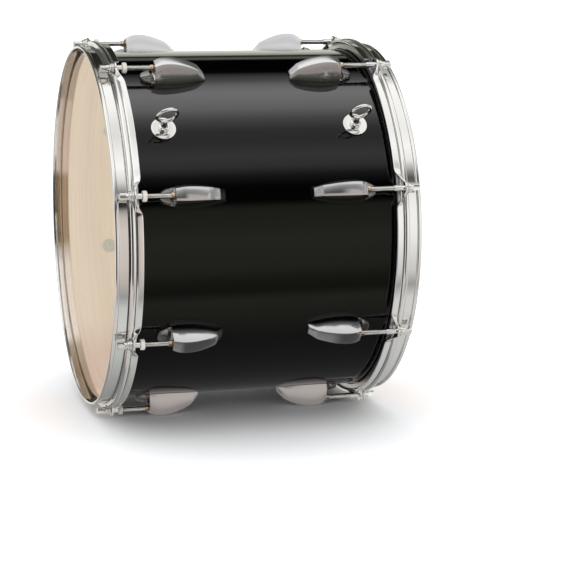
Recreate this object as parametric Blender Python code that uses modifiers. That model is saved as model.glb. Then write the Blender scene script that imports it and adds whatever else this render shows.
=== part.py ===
"""Marching tenor drum, modelled standing and laid on its side by one parent empty.

In the drum's own frame the axis is Z, the left head is at +Z and lug angles are
measured from +X. Distances called "depth" run inwards from the plane of a rim.
"""
import math

import bmesh
import bpy
from mathutils import Matrix, Vector

# Driving dimensions, in metres
SEAT_GAP = 0.0003
SEGMENTS = 40
HOLE_SIDES = 8
BOLT_SIDES = 6
LUG_COUNT = 8
FIRST_LUG_ANGLE = math.radians(22.5)
DRUM_ROLL = math.radians(7.3)

SHELL_RADIUS = 0.1775
SHELL_WALL = 0.006
SHELL_LENGTH = 0.2854
EDGE_FLAT = 0.001
EDGE_OUTER_ROUND = 0.0013

FILM_THICKNESS = 0.0005
FILM_GRIP = 0.0060

FLESH_HOOP_WIDTH = 0.0050
FLESH_HOOP_HEIGHT = 0.008

RIM_OVER_HEAD = 0.0090
LIP_WIDTH = 0.0028
LIP_HEIGHT = 0.0040
LIP_ROUND = 0.0004
WALL_THICKNESS = 0.0015
LEDGE_GRIP = 0.0027
LEDGE_THICKNESS = 0.0020
LEDGE_DEPTH = 0.0141
BEAD_REACH = 0.0015
BEAD_HEIGHT = 0.0050
BEAD_ROUND = 0.0012
SKIRT_WALL = 0.0033
SKIRT_HEIGHT = 0.0129

ROD_STAND_OFF = 0.0016
EAR_RADIUS = 0.0070
EAR_HALF_WIDTH = 0.0130
EAR_FLARE_SHARE = 0.68
EAR_ARC_END = math.radians(76.0)
EAR_ARC_POINTS = 4
EAR_DROP = 0.0035
EAR_THICKNESS = 0.0026
SPOT_FACE_DEPTH = 0.0003
NOTCH_HALF_WIDTH = 0.0170

SHANK_RADIUS = 0.0030
THREAD_RADIUS = 0.0026
SHANK_LENGTH = 0.0121
ROD_END_DEPTH = 0.0860
ROD_HEAD_HEIGHT = 0.0140
KEY_SQUARE_WIDTH = 0.0062
KEY_SQUARE_HEIGHT = 0.0063
ROD_NECK_RADIUS = 0.0036
WASHER_RADIUS = 0.0055
WASHER_STACK = 0.0034
ROD_HOLE_CLEARANCE = 0.0004
COLLAR_RADIUS = 0.0053
COLLAR_LENGTH = 0.0042
COLLAR_GAP = 0.0060

NUT_RADIUS = 0.0037
NUT_SET_BACK = 0.0087
BORE_SPARE = 0.0040
LUG_FRONT_DEPTH = 0.0448
LUG_LENGTH = 0.0642
LUG_HEIGHT = 0.0207
LUG_BASE_HALF_WIDTH = 0.0110
LUG_TOP_HALF_WIDTH = 0.0069
LUG_CREST_EASE = 0.06
LUG_BELLY_RISE = 0.50
LUG_BELLY_TAPER = 0.35
LUG_SCREW_RADIUS = 0.0022
LUG_SCREW_WASHER_RADIUS = 0.0075
LUG_SCREW_HEAD = 0.0026
LUG_SCREW_SHARES = (0.2368, 0.8131)

EYE_DEPTH = 0.0564
EYE_ANGLE = math.radians(-45.0)
EYE_RING_RADIUS = 0.0098
EYE_WIRE_RADIUS = 0.0019
EYE_RING_HEIGHT = 0.0240
EYE_TWIST = math.radians(8.0)
EYE_SHANK_RADIUS = 0.0030
EYE_NUT_RADIUS = 0.0052
EYE_NUT_HEIGHT = 0.0036
EYE_WASHER_RADIUS = 0.0122
EYE_WASHER_THICKNESS = 0.0018
EYE_INNER_WASHER_RADIUS = 0.0090

# Places worked out from the sizes above
EDGE_Z = SHELL_LENGTH / 2
FILM_TOP_Z = EDGE_Z + SEAT_GAP + FILM_THICKNESS
RIM_Z = FILM_TOP_Z + RIM_OVER_HEAD
SHELL_BORE_RADIUS = SHELL_RADIUS - SHELL_WALL
FILM_BORE_RADIUS = SHELL_RADIUS + SEAT_GAP
FLESH_BORE_RADIUS = FILM_BORE_RADIUS + FILM_THICKNESS + SEAT_GAP
FLESH_RADIUS = FLESH_BORE_RADIUS + FLESH_HOOP_WIDTH
HOOP_BORE_RADIUS = FLESH_RADIUS - LEDGE_GRIP
RIM_RADIUS = HOOP_BORE_RADIUS + LIP_WIDTH
WALL_RADIUS = HOOP_BORE_RADIUS + WALL_THICKNESS
CHANNEL_RADIUS = FLESH_RADIUS + SEAT_GAP
SKIRT_RADIUS = CHANNEL_RADIUS + SKIRT_WALL
BEAD_RADIUS = SKIRT_RADIUS + BEAD_REACH
ROD_CIRCLE_RADIUS = BEAD_RADIUS + ROD_STAND_OFF
LEDGE_UNDERSIDE_DEPTH = LEDGE_DEPTH + LEDGE_THICKNESS
FLESH_TOP_DEPTH = LEDGE_UNDERSIDE_DEPTH + SEAT_GAP
SKIRT_DEPTH = LEDGE_DEPTH + SKIRT_HEIGHT
EAR_TOP_DEPTH = LEDGE_DEPTH + EAR_DROP
EAR_UNDERSIDE_DEPTH = EAR_TOP_DEPTH + EAR_THICKNESS
POCKET_RADIUS = WASHER_RADIUS + ROD_HOLE_CLEARANCE
WASHER_SEAT_DEPTH = EAR_TOP_DEPTH + SPOT_FACE_DEPTH
ROD_TIP_DEPTH = WASHER_SEAT_DEPTH - ROD_HEAD_HEIGHT
SHANK_END_DEPTH = WASHER_SEAT_DEPTH + SHANK_LENGTH
COLLAR_DEPTH = EAR_UNDERSIDE_DEPTH + COLLAR_GAP
NUT_FRONT_DEPTH = LUG_FRONT_DEPTH + NUT_SET_BACK
BORE_END_DEPTH = ROD_END_DEPTH + BORE_SPARE
LUG_SCREW_DEPTHS = [LUG_FRONT_DEPTH + LUG_LENGTH * share for share in LUG_SCREW_SHARES]
LUG_SEAT_RADIUS = SHELL_RADIUS + SEAT_GAP
LUG_ANGLES = [FIRST_LUG_ANGLE + math.tau * k / LUG_COUNT for k in range(LUG_COUNT)]


def height_at(depth):
    """Height along the drum's axis of a depth below the left rim."""
    return RIM_Z - depth


def clear_scene():
    for obj in list(bpy.data.objects):
        bpy.data.objects.remove(obj, do_unlink=True)


def make_material(name, color, roughness, metallic, alpha=1.0):
    material = bpy.data.materials.new(name)
    material.use_nodes = True
    shader = material.node_tree.nodes["Principled BSDF"]
    shader.inputs["Base Color"].default_value = (*color, 1.0)
    shader.inputs["Roughness"].default_value = roughness
    shader.inputs["Metallic"].default_value = metallic
    shader.inputs["Alpha"].default_value = alpha
    return material


def chrome():
    return make_material("chrome", (0.78, 0.77, 0.75), 0.12, 1.0)


def satin_chrome():
    return make_material("satin_chrome", (0.62, 0.61, 0.60), 0.28, 1.0)


def black_lacquer():
    return make_material("black_lacquer", (0.012, 0.012, 0.011), 0.15, 0.0)


def clear_film():
    return make_material("clear_film", (0.88, 0.86, 0.80), 0.10, 0.0, alpha=0.35)


def aluminium():
    return make_material("aluminium", (0.70, 0.70, 0.70), 0.35, 1.0)


def white_nylon():
    return make_material("white_nylon", (0.82, 0.79, 0.74), 0.45, 0.0)


def new_object(name, mesh, collection):
    obj = bpy.data.objects.new(name, mesh)
    collection.objects.link(obj)
    return obj


def hide_cutter(obj):
    obj.hide_render = True
    obj.display_type = 'WIRE'


def profile_object(name, points, collection, closed=True):
    """Profile in the XZ half plane at +X, as edges for a Screw modifier."""
    mesh = bpy.data.meshes.new(name)
    count = len(points)
    edges = [(i, i + 1) for i in range(count - 1)]
    if closed:
        edges.append((count - 1, 0))
    mesh.from_pydata([(x, 0.0, z) for x, z in points], edges, [])
    return new_object(name, mesh, collection)


def add_screw(obj, steps):
    screw = obj.modifiers.new("turn", 'SCREW')
    screw.axis = 'Z'
    screw.angle = math.tau
    screw.steps = steps
    screw.render_steps = steps
    screw.use_merge_vertices = True
    screw.merge_threshold = 0.00001
    screw.use_normal_calculate = True


def add_boolean(obj, operand, operation):
    boolean = obj.modifiers.new(operation.lower(), 'BOOLEAN')
    boolean.operation = operation
    boolean.object = operand


def baked_mesh(obj, name):
    """Mesh of an object with its modifiers applied."""
    graph = bpy.context.evaluated_depsgraph_get()
    graph.update()
    mesh = bpy.data.meshes.new_from_object(obj.evaluated_get(graph))
    mesh.name = name
    return mesh


def turned(name, points, collection, steps=SEGMENTS, closed=True):
    """Solid of revolution about Z, with its faces pointing out."""
    profile = profile_object(name + "_profile", points, collection, closed)
    add_screw(profile, steps)
    bm = bmesh.new()
    turned_mesh = baked_mesh(profile, name)
    bm.from_mesh(turned_mesh)
    bpy.data.objects.remove(profile, do_unlink=True)
    obj = new_object(name, mesh_from(bm, name), collection)
    shade(obj.data)
    return obj


def shade(mesh, angle=35.0):
    mesh.shade_smooth()
    mesh.set_sharp_from_angle(angle=math.radians(angle))


def cylinder_into(bm, radius, start, end, sides, turn=0.0):
    """Closed cylinder from one point to another, added to a bmesh."""
    start = Vector(start)
    end = Vector(end)
    direction = end - start
    aim = direction.to_track_quat('Z', 'Y').to_matrix().to_4x4()
    place = Matrix.Translation((start + end) / 2) @ aim @ Matrix.Rotation(turn, 4, 'Z')
    bmesh.ops.create_cone(bm, cap_ends=True, segments=sides, radius1=radius, radius2=radius,
                          depth=direction.length, matrix=place)


def mesh_from(bm, name):
    bmesh.ops.recalc_face_normals(bm, faces=bm.faces)
    mesh = bpy.data.meshes.new(name)
    bm.to_mesh(mesh)
    bm.free()
    return mesh


def prism_into(bm, outline, place, low, high):
    """Flat outline extruded between two heights, then moved by a matrix."""
    lower = [bm.verts.new(place @ Vector((x, y, low))) for x, y in outline]
    upper = [bm.verts.new(place @ Vector((x, y, high))) for x, y in outline]
    bm.faces.new(lower[::-1])
    bm.faces.new(upper)
    count = len(outline)
    for i in range(count):
        j = (i + 1) % count
        bm.faces.new((lower[i], lower[j], upper[j], upper[i]))


def shell_profile():
    outer = SHELL_RADIUS
    inner = SHELL_BORE_RADIUS
    flat_outer = outer - EDGE_OUTER_ROUND
    flat_inner = flat_outer - EDGE_FLAT
    slope = flat_inner - inner
    shoulder = EDGE_Z - EDGE_OUTER_ROUND
    top = [(inner, EDGE_Z - slope), (flat_inner, EDGE_Z), (flat_outer, EDGE_Z), (outer, shoulder)]
    return top + [(x, -z) for x, z in reversed(top)]


def shell_hole_cutter(cutters):
    """Holes for the lug screws and the two eye bolts, their corners off the shell's ridges."""
    bm = bmesh.new()
    inner = SHELL_BORE_RADIUS - SHELL_WALL
    outer = SHELL_RADIUS + SHELL_WALL
    screw_hole = LUG_SCREW_RADIUS + ROD_HOLE_CLEARANCE
    eye_hole = EYE_SHANK_RADIUS + ROD_HOLE_CLEARANCE
    holes = [(angle, depth, screw_hole) for angle in LUG_ANGLES for depth in LUG_SCREW_DEPTHS]
    holes.append((EYE_ANGLE, EYE_DEPTH, eye_hole))
    turn = math.pi / BOLT_SIDES / 2
    for angle, depth, reach in holes:
        radius = reach / math.cos(math.pi / BOLT_SIDES)
        outward = Vector((math.cos(angle), math.sin(angle), 0.0))
        for z in (height_at(depth), -height_at(depth)):
            centre = Vector((0.0, 0.0, z))
            low = centre + outward * inner
            high = centre + outward * outer
            cylinder_into(bm, radius, low, high, BOLT_SIDES, turn)
    cutter = new_object("shell_holes", mesh_from(bm, "shell_holes"), cutters)
    hide_cutter(cutter)
    return cutter


def make_shell_mesh(cutters):
    guide = turned("shell_guide", shell_profile(), cutters)
    hide_cutter(guide)
    add_boolean(guide, shell_hole_cutter(cutters), 'DIFFERENCE')
    return baked_mesh(guide, "shell")


def film_points():
    top = FILM_TOP_Z
    bottom = top - FILM_THICKNESS
    outer = FILM_BORE_RADIUS + FILM_THICKNESS
    inner = FILM_BORE_RADIUS
    low = height_at(FLESH_TOP_DEPTH + FILM_GRIP)
    corner = EDGE_OUTER_ROUND
    return [(0.0, top), (outer - corner, top), (outer, top - corner), (outer, low),
            (inner, low), (inner, bottom - corner), (inner - corner, bottom), (0.0, bottom)]


def flesh_hoop_points():
    top = height_at(FLESH_TOP_DEPTH)
    bottom = top - FLESH_HOOP_HEIGHT
    inner = FLESH_BORE_RADIUS
    outer = FLESH_RADIUS
    return [(inner, top), (outer, top), (outer, bottom), (inner, bottom)]


def hoop_points():
    """Section of the counter hoop: rolled lip, wall, ledge with its bead, skirt."""
    bead_bottom = LEDGE_DEPTH + BEAD_HEIGHT
    outline = [(HOOP_BORE_RADIUS, 0.0), (RIM_RADIUS, 0.0), (RIM_RADIUS, LIP_HEIGHT),
               (WALL_RADIUS, LIP_HEIGHT + LIP_ROUND), (WALL_RADIUS, LEDGE_DEPTH),
               (BEAD_RADIUS - BEAD_ROUND, LEDGE_DEPTH), (BEAD_RADIUS, LEDGE_DEPTH + BEAD_ROUND),
               (BEAD_RADIUS, bead_bottom), (SKIRT_RADIUS, bead_bottom + BEAD_ROUND),
               (SKIRT_RADIUS, SKIRT_DEPTH), (CHANNEL_RADIUS, SKIRT_DEPTH),
               (CHANNEL_RADIUS, LEDGE_UNDERSIDE_DEPTH), (HOOP_BORE_RADIUS, LEDGE_UNDERSIDE_DEPTH)]
    return [(x, height_at(depth)) for x, depth in outline]


def ear_outline():
    """Ear seen along the drum's axis: a rounded end that flares into the bead."""
    root = (CHANNEL_RADIUS + SKIRT_RADIUS) / 2
    flare = EAR_HALF_WIDTH * EAR_FLARE_SHARE
    waist = (BEAD_RADIUS + ROD_CIRCLE_RADIUS) / 2
    arc = []
    for k in range(EAR_ARC_POINTS):
        angle = EAR_ARC_END * (2 * k / (EAR_ARC_POINTS - 1) - 1)
        arc.append((ROD_CIRCLE_RADIUS + EAR_RADIUS * math.cos(angle), EAR_RADIUS * math.sin(angle)))
    shoulder = SKIRT_RADIUS - SEAT_GAP
    lower = [(root, -EAR_HALF_WIDTH), (shoulder, -EAR_HALF_WIDTH), (waist, -flare)]
    return lower + arc + [(x, -y) for x, y in reversed(lower)]


def make_ears(cutters):
    bm = bmesh.new()
    high = height_at(EAR_TOP_DEPTH)
    for angle in LUG_ANGLES:
        prism_into(bm, ear_outline(), Matrix.Rotation(angle, 4, 'Z'), high - EAR_THICKNESS, high)
    ears = new_object("hoop_ears", mesh_from(bm, "hoop_ears"), cutters)
    hide_cutter(ears)
    return ears


def notch_outline():
    """Notch in the skirt under an ear: flat at the rod, sweeping down on both sides."""
    top = height_at(EAR_UNDERSIDE_DEPTH) - 2 * SEAT_GAP
    low = height_at(SKIRT_DEPTH)
    fall = top - low
    curve = [(0.27, 0.0), (0.50, 0.18), (0.74, 0.66), (1.0, 1.0)]
    right = [(NOTCH_HALF_WIDTH * across, top - fall * down) for across, down in curve]
    right.append((NOTCH_HALF_WIDTH, low - LEDGE_THICKNESS))
    return right + [(-y, z) for y, z in reversed(right)]


def make_notches(cutters):
    """Notches in the skirt under the ears."""
    bm = bmesh.new()
    inner = CHANNEL_RADIUS - LEDGE_THICKNESS
    outer = BEAD_RADIUS + LEDGE_THICKNESS
    to_radial = Matrix(((0, 0, 1, 0), (1, 0, 0, 0), (0, 1, 0, 0), (0, 0, 0, 1)))
    for angle in LUG_ANGLES:
        prism_into(bm, notch_outline(), Matrix.Rotation(angle, 4, 'Z') @ to_radial, inner, outer)
    cutter = new_object("hoop_notches", mesh_from(bm, "hoop_notches"), cutters)
    hide_cutter(cutter)
    return cutter


def make_rod_cylinders(name, radius, low_depth, high_depth, cutters):
    """A cylinder on each rod's axis between two depths."""
    bm = bmesh.new()
    half_side = math.pi / HOLE_SIDES
    for angle in LUG_ANGLES:
        axis = Vector((ROD_CIRCLE_RADIUS * math.cos(angle), ROD_CIRCLE_RADIUS * math.sin(angle), 0.0))
        low = axis + Vector((0, 0, height_at(low_depth)))
        high = axis + Vector((0, 0, height_at(high_depth)))
        cylinder_into(bm, radius / math.cos(half_side), low, high, HOLE_SIDES, angle + half_side)
    cutter = new_object(name, mesh_from(bm, name), cutters)
    hide_cutter(cutter)
    return cutter


def make_hoop_mesh(cutters):
    """Turned hoop with its ears, notches, spot-faced washer pockets and rod holes."""
    guide = turned("hoop_guide", hoop_points(), cutters)
    hide_cutter(guide)
    pocket_top = LIP_HEIGHT + LEDGE_THICKNESS
    pockets = make_rod_cylinders("washer_pockets", POCKET_RADIUS, WASHER_SEAT_DEPTH, pocket_top, cutters)
    hole = SHANK_RADIUS + ROD_HOLE_CLEARANCE
    holes = make_rod_cylinders("rod_holes", hole, SKIRT_DEPTH, LEDGE_DEPTH, cutters)
    add_boolean(guide, make_ears(cutters), 'UNION')
    for cutter in (make_notches(cutters), pockets, holes):
        add_boolean(guide, cutter, 'DIFFERENCE')
    return baked_mesh(guide, "hoop")


def lug_section(depth, base, top, height):
    """Ring of points of the lug casing at one depth; its foot follows the shell."""
    z = height_at(depth)
    seat = LUG_SEAT_RADIUS
    foot = math.sqrt(seat * seat - base * base)
    crown = seat + height
    edge = crown - LUG_CREST_EASE * height
    belly = base + (top - base) * LUG_BELLY_TAPER
    half = [(foot, base), (seat + height * LUG_BELLY_RISE, belly), (edge, top)]
    ring = [(seat, 0.0)] + half + [(crown, 0.0)] + [(x, -y) for x, y in reversed(half)]
    return [Vector((x, y, z)) for x, y in ring]


def lug_stations():
    """Casing from its tongue to its tail: share of length, base, top and height."""
    shape = [(0.000, 0.42, 0.52, 0.17), (0.180, 0.88, 1.04, 0.29), (0.205, 0.92, 0.90, 0.82),
             (0.300, 0.98, 0.98, 0.95), (0.430, 1.00, 1.00, 1.00), (0.640, 0.92, 0.94, 0.89),
             (0.900, 0.67, 0.74, 0.52), (1.000, 0.51, 0.61, 0.16)]
    for along, base, top, height in shape:
        depth = LUG_FRONT_DEPTH + LUG_LENGTH * along
        yield depth, LUG_BASE_HALF_WIDTH * base, LUG_TOP_HALF_WIDTH * top, LUG_HEIGHT * height


def lug_casing_mesh():
    bm = bmesh.new()
    rings = []
    for station in lug_stations():
        rings.append([bm.verts.new(point) for point in lug_section(*station)])
    for front, back in zip(rings, rings[1:]):
        count = len(front)
        for i in range(count):
            j = (i + 1) % count
            bm.faces.new((front[i], front[j], back[j], back[i]))
    bm.faces.new(rings[0])
    bm.faces.new(rings[-1])
    bmesh.ops.triangulate(bm, faces=bm.faces)
    return mesh_from(bm, "lug_casing")


def inner_seat(half_width):
    """Radius of the seat of a flat washer inside the faceted shell."""
    return SHELL_BORE_RADIUS - half_width * math.tan(math.pi / SEGMENTS) - SEAT_GAP


def lug_screw_points():
    seat = inner_seat(LUG_SCREW_WASHER_RADIUS)
    top = LUG_SEAT_RADIUS + LUG_SCREW_RADIUS
    low = seat - LUG_SCREW_HEAD
    return [(0.0, top), (LUG_SCREW_RADIUS, top), (LUG_SCREW_RADIUS, seat),
            (LUG_SCREW_WASHER_RADIUS, seat), (LUG_SCREW_WASHER_RADIUS, low), (0.0, low)]


def make_lug_mesh(cutters):
    """Casing with its swivel nut, the bore for the rod and its two screws, as one solid."""
    guide = new_object("lug_guide", lug_casing_mesh(), cutters)
    hide_cutter(guide)
    nut_bm = bmesh.new()
    axis = Vector((ROD_CIRCLE_RADIUS, 0.0, 0.0))
    front = axis + Vector((0, 0, height_at(NUT_FRONT_DEPTH)))
    back = axis + Vector((0, 0, height_at(NUT_FRONT_DEPTH + 3 * NUT_RADIUS)))
    cylinder_into(nut_bm, NUT_RADIUS, back, front, HOLE_SIDES)
    nut = new_object("swivel_nut", mesh_from(nut_bm, "swivel_nut"), cutters)
    hide_cutter(nut)
    add_boolean(guide, nut, 'UNION')
    for number, depth in enumerate(LUG_SCREW_DEPTHS):
        screw = turned("lug_screw_%d" % number, lug_screw_points(), cutters, BOLT_SIDES, closed=False)
        outward = Matrix.Rotation(math.pi / 2, 4, 'Y')
        screw.matrix_world = Matrix.Translation((0, 0, height_at(depth))) @ outward
        hide_cutter(screw)
        add_boolean(guide, screw, 'UNION')
    bore_bm = bmesh.new()
    bore_front = axis + Vector((0, 0, height_at(NUT_FRONT_DEPTH - NUT_RADIUS)))
    bore_back = axis + Vector((0, 0, height_at(BORE_END_DEPTH)))
    bore_radius = (THREAD_RADIUS + SEAT_GAP) / math.cos(math.pi / HOLE_SIDES)
    cylinder_into(bore_bm, bore_radius, bore_back, bore_front, HOLE_SIDES)
    bore = new_object("lug_bore", mesh_from(bore_bm, "lug_bore"), cutters)
    hide_cutter(bore)
    add_boolean(guide, bore, 'DIFFERENCE')
    return baked_mesh(guide, "lug")


def rod_points():
    """Tension rod under its square: neck, washers, shank and thread, on its own axis."""
    washer_low = height_at(WASHER_SEAT_DEPTH) + SEAT_GAP
    washer_high = washer_low + WASHER_STACK
    neck_top = height_at(ROD_TIP_DEPTH + KEY_SQUARE_HEIGHT)
    shank_end = height_at(SHANK_END_DEPTH)
    tip = height_at(ROD_END_DEPTH)
    return [(0.0, neck_top), (ROD_NECK_RADIUS, neck_top), (ROD_NECK_RADIUS, washer_high),
            (WASHER_RADIUS, washer_high), (WASHER_RADIUS, washer_low), (SHANK_RADIUS, washer_low),
            (SHANK_RADIUS, shank_end), (THREAD_RADIUS, shank_end), (THREAD_RADIUS, tip), (0.0, tip)]


def make_rod_mesh(cutters):
    guide = turned("rod_guide", rod_points(), cutters, BOLT_SIDES, closed=False)
    hide_cutter(guide)
    square_bm = bmesh.new()
    high = height_at(ROD_TIP_DEPTH)
    low = high - KEY_SQUARE_HEIGHT - ROD_NECK_RADIUS
    size = Matrix.Diagonal((KEY_SQUARE_WIDTH, KEY_SQUARE_WIDTH, high - low, 1.0))
    bmesh.ops.create_cube(square_bm, size=1.0, matrix=Matrix.Translation((0, 0, (high + low) / 2)) @ size)
    square = new_object("key_square", mesh_from(square_bm, "key_square"), cutters)
    hide_cutter(square)
    add_boolean(guide, square, 'UNION')
    return baked_mesh(guide, "tension_rod")


def collar_points():
    bore = SHANK_RADIUS + SEAT_GAP
    high = height_at(COLLAR_DEPTH)
    low = high - COLLAR_LENGTH
    return [(bore, high), (COLLAR_RADIUS, high), (COLLAR_RADIUS, low), (bore, low)]


def eye_washer_points():
    low = SHELL_RADIUS + SEAT_GAP
    high = low + EYE_WASHER_THICKNESS
    bore = EYE_SHANK_RADIUS + SEAT_GAP
    return [(bore, high), (EYE_WASHER_RADIUS, high), (EYE_WASHER_RADIUS, low), (bore, low)]


def eye_inner_nut_points():
    high = inner_seat(EYE_INNER_WASHER_RADIUS)
    middle = high - EYE_WASHER_THICKNESS
    low = middle - EYE_NUT_HEIGHT
    bore = EYE_SHANK_RADIUS + SEAT_GAP
    return [(bore, high), (EYE_INNER_WASHER_RADIUS, high), (EYE_INNER_WASHER_RADIUS, middle),
            (EYE_NUT_RADIUS, middle), (EYE_NUT_RADIUS, low), (bore, low)]


def make_eye_bolt_mesh(cutters):
    """Ring on a shank with a shoulder nut, standing on +Z from the drum's axis."""
    washer_top = SHELL_RADIUS + SEAT_GAP + EYE_WASHER_THICKNESS
    nut_low = washer_top + SEAT_GAP
    nut_high = nut_low + EYE_NUT_HEIGHT
    ring_centre = SHELL_RADIUS + EYE_RING_HEIGHT
    shank_top = ring_centre - EYE_RING_RADIUS
    shank_low = inner_seat(EYE_INNER_WASHER_RADIUS) - EYE_WASHER_THICKNESS - EYE_NUT_HEIGHT
    points = [(0.0, shank_top), (EYE_SHANK_RADIUS, shank_top), (EYE_SHANK_RADIUS, nut_high),
              (EYE_NUT_RADIUS, nut_high), (EYE_NUT_RADIUS, nut_low), (EYE_SHANK_RADIUS, nut_low),
              (EYE_SHANK_RADIUS, shank_low), (0.0, shank_low)]
    guide = turned("eye_guide", points, cutters, BOLT_SIDES, closed=False)
    hide_cutter(guide)
    bpy.ops.mesh.primitive_torus_add(major_segments=16, minor_segments=6, major_radius=EYE_RING_RADIUS,
                                     minor_radius=EYE_WIRE_RADIUS)
    ring = bpy.context.active_object
    ring.name = "eye_ring"
    for holder in list(ring.users_collection):
        holder.objects.unlink(ring)
    cutters.objects.link(ring)
    upright = Matrix.Rotation(EYE_TWIST, 4, 'Z') @ Matrix.Rotation(math.pi / 2, 4, 'X')
    ring.matrix_world = Matrix.Translation((0, 0, ring_centre)) @ upright
    hide_cutter(ring)
    add_boolean(guide, ring, 'UNION')
    return baked_mesh(guide, "eye_bolt")


def place(obj, parent, matrix):
    obj.parent = parent
    obj.matrix_local = matrix


def end_matrix(left):
    """The left end is modelled as it stands; the right end is it turned about X."""
    return Matrix.Identity(4) if left else Matrix.Rotation(math.pi, 4, 'X')


def add_end_pieces(left, parent, parts, meshes, materials):
    side = "left" if left else "right"
    end = end_matrix(left)
    for name, points, closed, material in (("head", film_points(), False, "clear_film"),
                                           ("flesh_hoop", flesh_hoop_points(), True, "aluminium")):
        obj = turned("%s_%s" % (side, name), points, parts, closed=closed)
        obj.data.materials.append(materials[material])
        place(obj, parent, end)
    place(new_object("%s_hoop" % side, meshes["hoop"], parts), parent, end)
    for number, angle in enumerate(LUG_ANGLES, 1):
        spin = Matrix.Rotation(angle, 4, 'Z')
        place(new_object("%s_lug_%d" % (side, number), meshes["lug"], parts), parent, end @ spin)
        rod_place = end @ spin @ Matrix.Translation((ROD_CIRCLE_RADIUS, 0, 0))
        place(new_object("%s_rod_%d" % (side, number), meshes["rod"], parts), parent, rod_place)
        if left:
            collar = turned("left_collar_%d" % number, collar_points(), parts, HOLE_SIDES)
            collar.data.materials.append(materials["white_nylon"])
            place(collar, parent, rod_place)


def add_eye(left, parent, parts, meshes, materials):
    side = "left" if left else "right"
    z = height_at(EYE_DEPTH) if left else -height_at(EYE_DEPTH)
    outward = Matrix.Rotation(EYE_ANGLE, 4, 'Z') @ Matrix.Rotation(math.pi / 2, 4, 'Y')
    stand = Matrix.Translation((0, 0, z)) @ outward @ Matrix.Rotation(math.pi, 4, 'Z')
    place(new_object("%s_eye_bolt" % side, meshes["eye_bolt"], parts), parent, stand)
    for name, points, sides in (("eye_washer", eye_washer_points(), 2 * BOLT_SIDES),
                                ("eye_nut", eye_inner_nut_points(), BOLT_SIDES)):
        obj = turned("%s_%s" % (side, name), points, parts, sides)
        obj.data.materials.append(materials["chrome"])
        place(obj, parent, stand)


def build():
    clear_scene()
    parts = bpy.data.collections.new("tenor_drum")
    cutters = bpy.data.collections.new("tenor_drum_cutters")
    for collection in (parts, cutters):
        bpy.context.scene.collection.children.link(collection)
    makers = (chrome, satin_chrome, black_lacquer, clear_film, aluminium, white_nylon)
    materials = {maker.__name__: maker() for maker in makers}
    meshes = {"shell": make_shell_mesh(cutters), "hoop": make_hoop_mesh(cutters),
              "lug": make_lug_mesh(cutters), "rod": make_rod_mesh(cutters),
              "eye_bolt": make_eye_bolt_mesh(cutters)}
    for name, material in (("shell", "black_lacquer"), ("hoop", "chrome"), ("lug", "satin_chrome"),
                           ("rod", "chrome"), ("eye_bolt", "chrome")):
        meshes[name].materials.clear()
        meshes[name].materials.append(materials[material])
        shade(meshes[name])
    drum = bpy.data.objects.new("drum_pose", None)
    parts.objects.link(drum)
    place(new_object("shell", meshes["shell"], parts), drum, Matrix.Identity(4))
    for left in (True, False):
        add_end_pieces(left, drum, parts, meshes, materials)
        add_eye(left, drum, parts, meshes, materials)
    lay_down = Matrix.Rotation(DRUM_ROLL, 4, 'X') @ Matrix.Rotation(-math.pi / 2, 4, 'Y')
    drum.matrix_world = lay_down
    bpy.context.view_layer.update()
    solids = [obj for obj in parts.objects if obj.type == 'MESH']
    lowest = min((obj.matrix_world @ vertex.co).z for obj in solids for vertex in obj.data.vertices)
    drum.matrix_world = Matrix.Translation((0, 0, -lowest)) @ lay_down
    bpy.context.view_layer.update()


build()
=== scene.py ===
"""Marching tenor drum, dressed piece by piece in the order in which it is put together."""
import math

import bmesh
import bpy
from mathutils import Matrix, Vector


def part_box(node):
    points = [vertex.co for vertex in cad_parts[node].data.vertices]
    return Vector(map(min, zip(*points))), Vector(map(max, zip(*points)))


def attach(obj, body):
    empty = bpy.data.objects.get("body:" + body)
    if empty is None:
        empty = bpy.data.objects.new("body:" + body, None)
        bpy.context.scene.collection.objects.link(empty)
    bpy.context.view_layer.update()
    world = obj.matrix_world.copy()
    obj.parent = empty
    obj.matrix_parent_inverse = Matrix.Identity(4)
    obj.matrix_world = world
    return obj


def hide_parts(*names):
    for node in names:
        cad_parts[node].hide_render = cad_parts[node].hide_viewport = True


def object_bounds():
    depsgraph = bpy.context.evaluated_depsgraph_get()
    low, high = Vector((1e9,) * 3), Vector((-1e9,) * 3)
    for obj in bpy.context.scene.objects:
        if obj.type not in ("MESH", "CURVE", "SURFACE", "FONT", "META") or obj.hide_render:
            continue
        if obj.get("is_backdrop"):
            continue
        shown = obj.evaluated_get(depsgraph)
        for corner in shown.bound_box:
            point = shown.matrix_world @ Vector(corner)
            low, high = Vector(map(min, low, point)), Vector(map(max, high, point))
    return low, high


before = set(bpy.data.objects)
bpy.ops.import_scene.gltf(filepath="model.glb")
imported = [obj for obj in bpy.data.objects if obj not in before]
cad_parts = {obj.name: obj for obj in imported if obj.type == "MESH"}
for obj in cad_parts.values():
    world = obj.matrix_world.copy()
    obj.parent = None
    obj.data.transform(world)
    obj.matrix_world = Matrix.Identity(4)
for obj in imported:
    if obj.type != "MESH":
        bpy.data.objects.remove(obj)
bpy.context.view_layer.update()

# Shell. A wooden drum shell of bent maple plies, with a gloss black lacquer outside and clear
# sealer inside. Both ends are cut to a 45 degree bearing edge with a small rounded back cut,
# and the last few millimetres, where the head's collar slides, are left without lacquer.
SHELL_RADIUS = 0.1775
SHELL_WALL = 0.006
SHELL_HALF_LENGTH = 0.1427
EDGE_ROUND = 0.0013
EDGE_FLAT = 0.001
BARE_EDGE = 0.004
PLY_THICKNESS = SHELL_WALL / 6
SHELL_SIDES = 256
# what stands on the shell or on the film keeps this far off it, as in the frame
SEAT_GAP = 0.0003

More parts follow.
